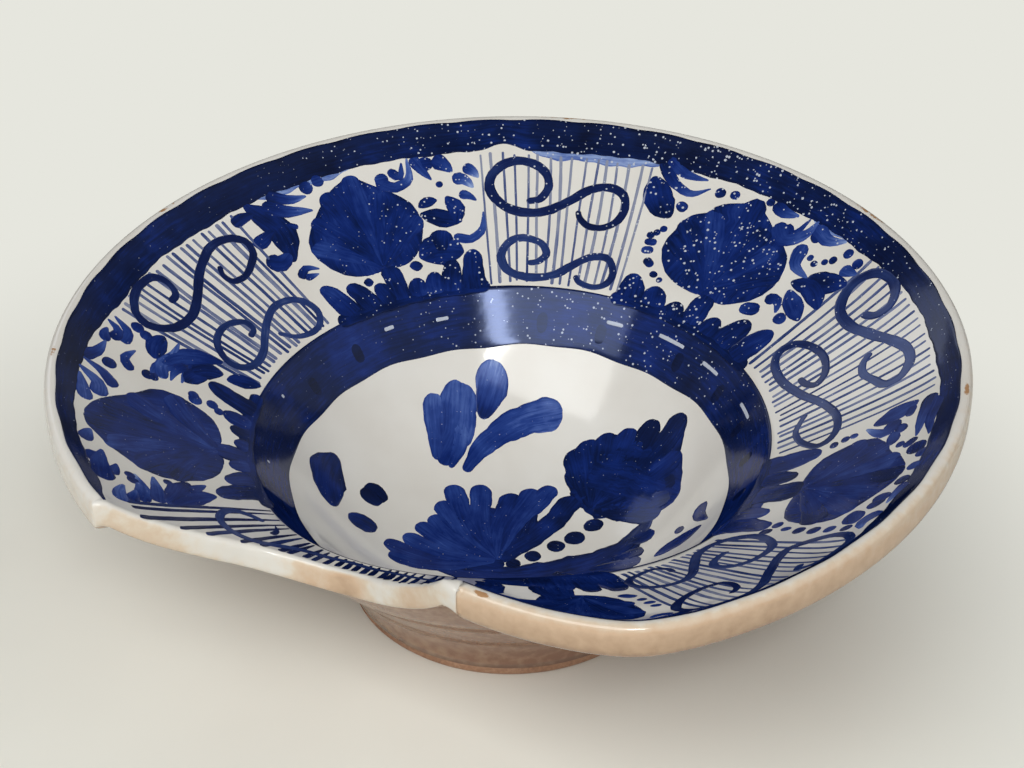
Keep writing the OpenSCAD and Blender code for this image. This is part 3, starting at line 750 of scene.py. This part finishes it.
for panel in hatchedPanels:
    made = []
    if panel["lines"]:
        made = strokesOf(brim, hatchLines(*panel["lines"]), "hatch", tone=panel["tone"])
    made += strokesOf(brim, panel["scrolls"], "notchLine", {"scroll": "scroll"})
    number = panel["number"]
    paintPiece(f"hatchedPanel{number}", f"hatched_panel_{number}", cobaltLine, made)
print("hatched panels painted")


def budFill(outline):
    # a bud's outline as heights on the brim, each with its two edge angles, filled with strokes up the brim
    steps, endSteps, brimWidth = 44, 3, 68
    heights, highs, lows = np.array(outline, float).T
    t = np.linspace(heights[0], heights[-1], steps)
    low, high = np.interp(t, heights, lows), np.interp(t, heights, highs)
    middle = np.stack([(low + high)/2, t], -1)
    reach = np.stack([(high - low)/2, np.zeros_like(t)], -1)
    along = t*brimWidth + hand.uniform(0, brush["hairShift"])
    return ribbon(brimPlace, middle, -reach, reach, coats["bud"]["lift"], taper(np.arange(steps), endSteps), along,
                  np.full(steps, coats["bud"]["tone"]), speckAt(middle[:, 0]), across=acrossWide)


# flower panels: a solid bud with petal strokes over it, its stem, fat leaf lobes along the well, dots and commas
flowerPanels = [
    dict(number=3, base=(77.5, .22), petal=9, stem=(76, .22, 75.5, -.02, 9), foot=(97, 54),
         bud=[(.185, 80, 74.5), (.2, 85, 72), (.24, 88, 70), (.3, 90, 67.5), (.37, 91.2, 66.2), (.44, 91.2, 65.8),
             (.5, 90.5, 66.2), (.56, 90.2, 67), (.62, 88.8, 68.3), (.66, 86.4, 70.5), (.7, 86, 73.5),
             (.74, 84.5, 75.5), (.78, 81.6, 77.8), (.82, 80.6, 78.3), (.84, 80, 78.8)],
         tips=[(90.6, .47), (89.6, .58), (85.6, .69), (79.6, .83), (75.2, .72), (70.8, .64), (66.8, .52)],
         lobes=[(94, .185, 92.5, 10), (88, .15, 86.5, 10), (81.5, .11, 80.5, 9), (70, .135, 70.5, 9),
             (63.5, .22, 65, 10.5), (57.5, .26, 59, 10)],
         strokes=[("dot", 3, 92.4, .485), ("dot", 2.8, 93.3, .455), ("dot", 3.2, 94.2, .43),
             ("line", 3, 94.9, .385, 92.4, .395), ("line", 3.4, 94.8, .33, 92.3, .345),
             ("line", 3.4, 93.3, .285, 91, .25), ("line", 3, 90.8, .215, 89, .2),
             ("line", 2.6, 88.8, .19, 87.4, .185), ("leaf", 12, 97.8, .78, 95, .63, 92.2, .56),
             ("line", 4.4, 92.2, .66, 90.2, .625), ("comma", 5, 97.4, .88, 93.8, .76, 90.8, .73, 88, .79),
             ("comma", 5, 97, .91, 93, .83, 89, .83), ("dot", 4.4, 86.2, .785), ("dot", 4, 83.8, .8),
             ("line", 3.4, 78.5, .84, 77, .835), ("comma", 7, 74.4, .76, 71.6, .69, 69, .77, 68.6, .87),
             ("comma", 4, 73, .77, 71, .74, 70, .86), ("comma", 6, 77, .85, 74.6, .82, 72, .84),
             ("line", 4.6, 68, .81, 66, .775), ("comma", 6.5, 68.6, .84, 65, .81, 62, .86),
             ("comma", 6, 67.8, .73, 66.4, .61, 62.2, .585), ("dot", 2.8, 65, .685), ("dot", 3, 63.6, .67),
             ("dot", 2.8, 62.3, .71), ("dot", 3.4, 61.4, .745), ("dot", 4.2, 60.2, .82), ("dot", 4.6, 57.4, .81),
             ("comma", 6, 59, .74, 57.4, .75, 55.8, .77), ("leaf", 10, 62.4, .6, 58.8, .63, 55.4, .7),
             ("leaf", 9, 64.2, .52, 60, .56, 55, .5), ("leaf", 8, 63.2, .48, 59, .42, 55.6, .39),
             ("dot", 5.4, 59.2, .33), ("comma", 5.4, 65.6, .365, 63, .395, 61, .335),
             ("line", 5.6, 68.4, .245, 66.2, .27, 64.4, .305)]),
    dict(number=4, base=(148, .23), petal=8.5, stem=(147.3, .24, 147.3, -.02, 7.5), foot=(165, 126),
         bud=[(.2, 151.5, 144.5), (.22, 154.5, 142.5), (.26, 157, 140.5), (.32, 158.8, 138.8), (.4, 160, 137.8),
             (.46, 160.2, 137.5), (.52, 159.6, 137.8), (.58, 158, 138.5), (.63, 156.2, 140), (.68, 154.5, 141.8),
             (.73, 152.5, 144), (.77, 150.8, 145.5), (.8, 148.5, 146.5), (.82, 147.8, 147)],
         tips=[(159.6, .49), (156.6, .63), (152.4, .76), (147.4, .82), (143.6, .7), (140.2, .62), (138, .5)],
         lobes=[(163, .25, 160, 8.5), (157.6, .2, 154.5, 8.5), (151.6, .15, 150, 7.5), (142.4, .125, 143, 7.5),
             (138, .14, 139.3, 7.5), (133.4, .2, 135.2, 8), (129, .25, 129.8, 8.5)],
         strokes=[("leaf", 11.5, 165.4, .86, 162.6, .64, 164.2, .445),
             ("petal", 5, 164.5, .79, 167, .795, 169.2, .79), ("petal", 6, 163.5, .66, 166, .64, 168.6, .625),
             ("petal", 8, 163.5, .5, 166.3, .475, 168.9, .525), ("comma", 6.5, 163, .81, 159.5, .73, 155.4, .685),
             ("comma", 5.5, 161.4, .86, 158, .785, 155.2, .775), ("dot", 5.4, 154.6, .82), ("dot", 5, 152.4, .835),
             ("line", 2.8, 161.2, .665, 159.4, .62), ("comma", 4, 165.3, .34, 163, .385, 160.6, .35),
             ("comma", 3.2, 164.6, .335, 162.8, .33, 161.3, .325), ("leaf", 4, 154, .18, 153, .172, 151.8, .165),
             ("leaf", 4.6, 143, .2, 141.6, .195, 140.1, .185),
             ("comma", 5, 143.4, .75, 140.6, .69, 138.2, .72, 137.5, .85), ("dot", 5.4, 142.4, .75),
             ("comma", 4, 140.9, .8, 139.4, .745, 138.5, .83), ("comma", 5, 136.9, .85, 135.6, .77, 134.3, .7),
             ("dot", 6, 134.8, .8), ("comma", 7.5, 133.6, .83, 131.8, .78, 130.7, .735), ("dot", 2.8, 133.2, .67),
             ("comma", 6, 131, .69, 129.2, .69, 127.5, .63), ("comma", 4.4, 130.2, .6, 128.4, .58, 127.2, .55),
             ("comma", 5.4, 128.8, .77, 127.4, .73, 126.5, .69), ("leaf", 4.8, 137.7, .545, 136, .57, 134.1, .575),
             ("leaf", 8, 137.8, .505, 134, .46, 130.2, .43), ("leaf", 7, 131.6, .41, 131, .5, 132.5, .595),
             ("leaf", 14, 140.4, .24, 135.8, .265, 130.8, .235), ("petal", 9.5, 135.6, .24, 135, .32, 134.4, .39),
             ("comma", 4.2, 132.5, .335, 128.8, .315, 126.8, .36, 126.2, .48)]),
    dict(number=5, base=(221.5, .18), petal=10, stem=(221.5, .2, 221.5, -.02, 9), foot=(240, 198),
         bud=[(.145, 224, 218.5), (.16, 227, 214.5), (.2, 230, 212), (.25, 232, 210.8), (.32, 233.8, 209.8),
             (.4, 234.6, 209.2), (.48, 235, 209.4), (.54, 235, 210.4), (.6, 234.3, 212.6), (.66, 233, 214.5),
             (.72, 231, 216), (.78, 229.3, 217.7), (.83, 227, 219.6), (.87, 225.6, 222), (.89, 224.5, 223.2)],
         tips=[(234.6, .5), (232.8, .67), (228.6, .8), (224, .88), (219, .8), (214.6, .66), (210, .45)],
         lobes=[(237.6, .28, 234, 9), (232, .185, 229.4, 8), (226, .13, 224.6, 7.5), (216.8, .085, 217.4, 7),
             (212.3, .11, 213, 7), (208.4, .16, 209.6, 7.5), (202, .275, 204, 8.5)],
         strokes=[("comma", 7, 243, .77, 239, .7, 235.2, .7), ("comma", 6.5, 242.6, .67, 238.5, .62, 235, .6),
             ("leaf", 10, 242.6, .62, 238.8, .5, 235, .41), ("leaf", 9, 242.6, .6, 239.6, .44, 238, .29),
             ("comma", 4.4, 237.5, .42, 236, .36, 234.9, .315), ("comma", 6, 244, .89, 241, .85, 239, .8),
             ("comma", 5, 243.4, .83, 241.4, .78, 239.8, .75), ("comma", 9, 239, .9, 235, .87, 230.8, .825),
             ("dot", 8, 233.4, .88), ("comma", 5, 236.8, .83, 235.2, .8, 233.6, .775), ("dot", 4.6, 237.2, .73),
             ("dot", 4.2, 235.9, .73), ("comma", 6, 229.8, .905, 228, .88, 226.4, .85), ("dot", 3.6, 236, .53),
             ("comma", 6, 219.8, .86, 217.4, .87, 214, .9), ("comma", 7, 217.6, .8, 214.8, .8, 212.6, .91),
             ("comma", 5.4, 214.2, .715, 211.8, .78, 210.6, .9), ("comma", 5.4, 210.6, .905, 207.6, .84, 204.6, .82),
             ("dot", 5.6, 209, .77), ("comma", 4.6, 208.5, .655, 206.3, .705, 203.3, .67), ("dot", 4.8, 207.5, .575),
             ("line", 3.6, 208.3, .53, 206.3, .555), ("dot", 5.2, 208.5, .31),
             ("line", 4.2, 208.9, .305, 206.4, .335), ("dot", 4.4, 207.8, .22), ("dot", 3.8, 209, .18),
             ("dot", 5, 198.4, .715), ("dot", 4.8, 199, .66), ("leaf", 8.5, 203.1, .57, 199.8, .59, 196.8, .58),
             ("comma", 5.4, 206.8, .49, 203.4, .53, 200, .495, 196.4, .5),
             ("leaf", 8, 203.5, .53, 199.6, .46, 197, .37, 194.8, .26),
             ("comma", 4.4, 200.5, .4, 203.4, .45, 206.5, .455), ("comma", 4.4, 201.5, .45, 204, .5, 207, .505),
             ("comma", 4.4, 202.5, .5, 204.8, .55, 207.6, .56), ("comma", 4.2, 199.5, .36, 202.5, .395, 205.8, .4),
             ("comma", 4.2, 198.5, .31, 201.5, .345, 204.8, .35), ("leaf", 8.5, 205.1, .39, 202, .35, 200.2, .285),
             ("leaf", 8.5, 201.9, .38, 199.3, .31, 197.7, .225), ("comma", 5, 204.9, .82, 203.4, .84, 201.9, .84),
             ("comma", 5, 203.7, .8, 201.4, .785, 200.3, .86), ("comma", 5, 203.3, .745, 200.6, .74, 198.9, .84),
             ("leaf", 7, 198.9, .2, 196.5, .12, 195, .03)]),
    dict(number=2, base=(5, .3), petal=10, stem=(5.4, .3, 5.4, -.02, 11), foot=(19.5, -10.5),
         bud=[(.26, 8.5, 1.5), (.29, 12.5, -2), (.33, 14.5, -4.5), (.38, 15.5, -5.8), (.45, 16.5, -6.6),
             (.52, 17, -7), (.6, 16.5, -6.8), (.66, 14.5, -6), (.7, 12, -4.3), (.74, 10.2, -2), (.78, 9.5, 0),
             (.82, 7.5, 2), (.85, 6, 4.2)],
         tips=[(16.6, .55), (13.6, .68), (9.4, .78), (5, .85), (.4, .78), (-4, .71), (-6.8, .57)],
         lobes=[(16.6, .31, 16, 10), (10.6, .22, 11, 8), (-1.8, .2, -1.4, 8), (-7.2, .3, -6, 9.5)],
         strokes=[("line", 8, 19, .03, 8, .05, -3, .05, -10, .03), ("dot", 4.4, -9, .8), ("dot", 4.6, -8.9, .7),
             ("dot", 5, -9, .61), ("line", 4.6, -8.6, .55, -9, .48), ("line", 5, -7.4, .42, -9, .42),
             ("dot", 4.2, -6.7, .34), ("line", 4.2, -8.8, .35, -9.3, .28), ("leaf", 8, -4, .735, -6, .77, -7.9, .82),
             ("comma", 7, -5.2, .91, -8, .87, -10, .91), ("dot", 6.4, -1.4, .83), ("line", 5.4, -1.8, .86, -4, .8),
             ("dot", 5.4, 2.4, .875), ("dot", 5, 5.6, .89), ("comma", 5, 1.6, .92, -1, .9, -3.6, .9),
             ("dot", 7.4, 10.4, .85), ("dot", 5.4, 8.6, .9), ("dot", 3.6, 12.6, .745),
             ("line", 3.6, 13.2, .83, 11.4, .77), ("comma", 6, 22.6, .87, 18, .83, 13.4, .82),
             ("comma", 5.5, 21.4, .91, 17, .875, 12.8, .89), ("line", 3.6, 21.6, .775, 19.2, .75),
             ("leaf", 4.8, 18, .725, 16.8, .725, 15.6, .72), ("leaf", 5.4, 16.6, .685, 14.8, .695, 13, .69),
             ("leaf", 8.5, 22.4, .8, 21, .68, 19.9, .565), ("comma", 6.5, 19.5, .705, 17, .63, 19.5, .53),
             ("line", 3.2, 19.4, .475, 18, .465), ("line", 3.2, 19.3, .43, 17.6, .42),
             ("line", 3.6, 18.6, .375, 16.8, .36)]),
    dict(number=1, base=(-47, .42), petal=7.5, stem=(-49.5, .42, -50.5, -.02, 9), foot=(-37, -64),
         bud=[(.37, -45.5, -49.5), (.41, -43, -52), (.48, -41.4, -53.6), (.58, -40.6, -54.4), (.68, -40.4, -54.6),
             (.78, -40.6, -54.4), (.86, -41.6, -54), (.92, -43.5, -52.5), (.96, -45.5, -50)],
         tips=[(-40.8, .62), (-41.4, .8), (-44.2, .92), (-50, .95), (-54, .84), (-57.5, .92), (-61, .93)],
         lobes=[(-39.6, .36, -40, 9.5), (-44, .33, -44, 9), (-48.4, .3, -48, 8), (-53, .22, -53, 8)],
         strokes=[("line", 13, -38.5, .1, -48, .13, -58, .13, -64, .1), ("line", 9, -50, .7, -56, .76, -62, .74),
             ("line", 9, -50, .55, -52, .35, -53, .2), ("line", 9, -62, .7, -61.5, .45, -62.5, .2),
             ("line", 8, -50, .87, -57, .91, -63.5, .88), ("line", 3.4, -37.6, .69, -39.2, .685),
             ("line", 3.4, -37.6, .62, -39.4, .62), ("line", 3.4, -38, .55, -39.6, .55),
             ("line", 4, -38.8, .49, -41, .42), ("comma", 5, -38.4, .9, -40, .88, -41.6, .93),
             ("comma", 5, -36.6, .93, -39, .95, -43, .97)])]
lobeFoot, lobeBend = -0.02, 0.45          # where lobes start below the mouth, and their bend as a share of their height
footLine = dict(width=5.6, height=0.016)  # the line along the well under the lobes
for panel in flowerPanels:
    made = [budFill(panel["bud"])]
    for tip in panel["tips"]:
        made.append(stroke(*brim, "petal", panel["petal"], (*panel["base"], *tip), **coatOf("petal", len(made))))
    *path, wide = panel["stem"]
    made.append(stroke(*brim, "line", wide, path, **coatOf("stem")))
    for tipA, tipT, root, wide in panel["lobes"]:
        path = (root, lobeFoot, (2*root + tipA)/3, tipT*lobeBend, tipA, tipT)
        made.append(stroke(*brim, "lobe", wide, path, **coatOf("lobe", len(made))))
    along = np.linspace(*panel["foot"], 9)
    path = np.stack([along, np.full_like(along, footLine["height"])], -1)
    made.append(stroke(*brim, "line", footLine["width"], path, **coatOf("foot")))
    made += strokesOf(brim, panel["strokes"], "stroke", {"comma": "comma"})
    number = panel["number"]
    paintPiece(f"flowerPanel{number}", f"flower_panel_{number}", cobaltBlue, made)
print("flower panels painted")


def facing(right, up, back, place):
    # an object's place, with its own three directions
    return Matrix(np.vstack([np.column_stack([right, up, back, place]), [0, 0, 0, 1]]).tolist())


# the photograph's camera, in mm, found from the rim's, well's and base's outlines
view = dict(azimuth=32, elevation=35.41, roll=-0.015, distance=902.2, right=0.2, up=64.9, lens=91.4)
turn, tilt = math.radians(view["azimuth"]), math.radians(view["elevation"])
rightWay = np.array([math.cos(turn), math.sin(turn), 0])
back = np.array([math.sin(turn)*math.cos(tilt), -math.cos(turn)*math.cos(tilt), math.sin(tilt)])
upWay = np.cross(back, rightWay)
c, s = math.cos(view["roll"]), math.sin(view["roll"])
rightWay, upWay = c*rightWay + s*upWay, c*upWay - s*rightWay
cameraData = bpy.data.cameras.new("photoCamera")
cameraData.lens, cameraData.sensor_width, cameraData.clip_start = view["lens"], 36, 0.01
camera = addObject("photoCamera", cameraData)
placeAt = (back*view["distance"] + rightWay*view["right"] + upWay*view["up"])*mm
camera.matrix_world = facing(rightWay, upWay, back, placeAt)
bpy.context.scene.camera = camera

# a pale table that runs out of the picture, even and bright away from the bowl's shadow
studio = dict(tableColour="#F0F0E8", tableDull="#EBEAE2", farColour="#E6E6DE", farTable="#6E6A64",
              farFrom=0.34, farTo=0.62, shadeMiddle=(-0.01, -0.09, 0.0), shadowFrom=0.14, shadowTo=0.33, tableReach=6.0,
              horizon="#4C4C4A", roomLow="#8C8C8A", roomHigh="#444446", roomFront="#9A9A98", roomRight="#D2D2D0",
              lightAim=(0, 0, 0.05))
floorPaint, tree, where = newMaterial("paleTable")
grain = noiseNode(tree, where, 9.0, 3.0)
tableColour = addNode(tree, "ValToRGB", {"Fac": grain}, [(0.3, studio["tableDull"]), (0.7, studio["tableColour"])])
away = addNode(tree, "VectorMath", {0: where}, operation="LENGTH").outputs["Value"]
edge = rangeNode(tree, away, studio["farFrom"], studio["farTo"])
tableColour = mixNode(tree, edge, tableColour, hexColour(studio["farTable"]))
matt = addNode(tree, "BsdfPrincipled", {"Base Color": tableColour, "Roughness": 0.7})
glow = addNode(tree, "Emission", {"Color": hexColour(studio["farColour"]), "Strength": 1.0})
shade = addNode(tree, "VectorMath", {0: where, 1: studio["shadeMiddle"]}, operation="DISTANCE").outputs["Value"]
far = rangeNode(tree, shade, studio["shadowFrom"], studio["shadowTo"], interpolation_type="SMOOTHSTEP")
seen = mathNode(tree, "MULTIPLY", far, addNode(tree, "LightPath").outputs["Is Camera Ray"])
both = addNode(tree, "MixShader", {0: seen, 1: matt, 2: glow})
addNode(tree, "OutputMaterial", {"Surface": both})
floorMesh = bpy.data.meshes.new("table")
corners = np.array([(-1, -1, 0), (1, -1, 0), (1, 1, 0), (-1, 1, 0)])*studio["tableReach"]
floorMesh.from_pydata(corners.tolist(), [], [(0, 1, 2, 3)])
floorMesh.materials.append(floorPaint)
table = addObject("table", floorMesh)

# a room with pale walls, brightest behind the camera and on the right, and a darker ceiling
world = bpy.data.worlds.new("paleRoom")
world.use_nodes = True
tree = world.node_tree
tree.nodes.clear()
look = addNode(tree, "SeparateXYZ", {0: addNode(tree, "TexCoord").outputs["Generated"]}).outputs
walls = addNode(tree, "ValToRGB", {"Fac": look["Z"]}, [
    (0.06, studio["horizon"]), (0.2, studio["roomLow"]), (0.36, studio["roomLow"]), (0.55, studio["roomHigh"])])
ahead = rangeNode(tree, look["Y"], -0.1, -0.7)
colour = mixNode(tree, ahead, walls, hexColour(studio["roomFront"]))
beside = rangeNode(tree, look["X"], 0.2, 0.8)
colour = mixNode(tree, beside, colour, hexColour(studio["roomRight"]))
room = addNode(tree, "Background", {"Color": colour, "Strength": 1.0})
addNode(tree, "OutputWorld", {"Surface": room})
bpy.context.scene.world = world


def softLight(name, place, width, height, power, colour):
    # a rectangle of light at place that faces the bowl
    data = bpy.data.lights.new(name, "AREA")
    data.shape, data.size, data.size_y, data.energy = "RECTANGLE", width, height, power
    data.color = hexColour(colour)[:3]
    away = np.array(place, float) - np.array(studio["lightAim"], float)
    away /= np.linalg.norm(away)
    side = np.cross([0, 1, 0.01], away)
    side /= np.linalg.norm(side)
    addObject(name, data).matrix_world = facing(side, np.cross(away, side), away, place)


softLight("cameraWindow", (0.1, -1.2, 1.5), 1.9, 1.0, 24.0, "#FFFFFC")
softLight("brightPane", (0.95, -1.3, 1.52), 0.22, 0.6, 8.0, "#FFFFFC")
softLight("leftWindow", (-1.75, 0.9, 1.05), 0.7, 0.7, 1.8, "#EAF0FF")
bpy.context.scene.view_settings.view_transform = "Standard"
print("camera and light set")
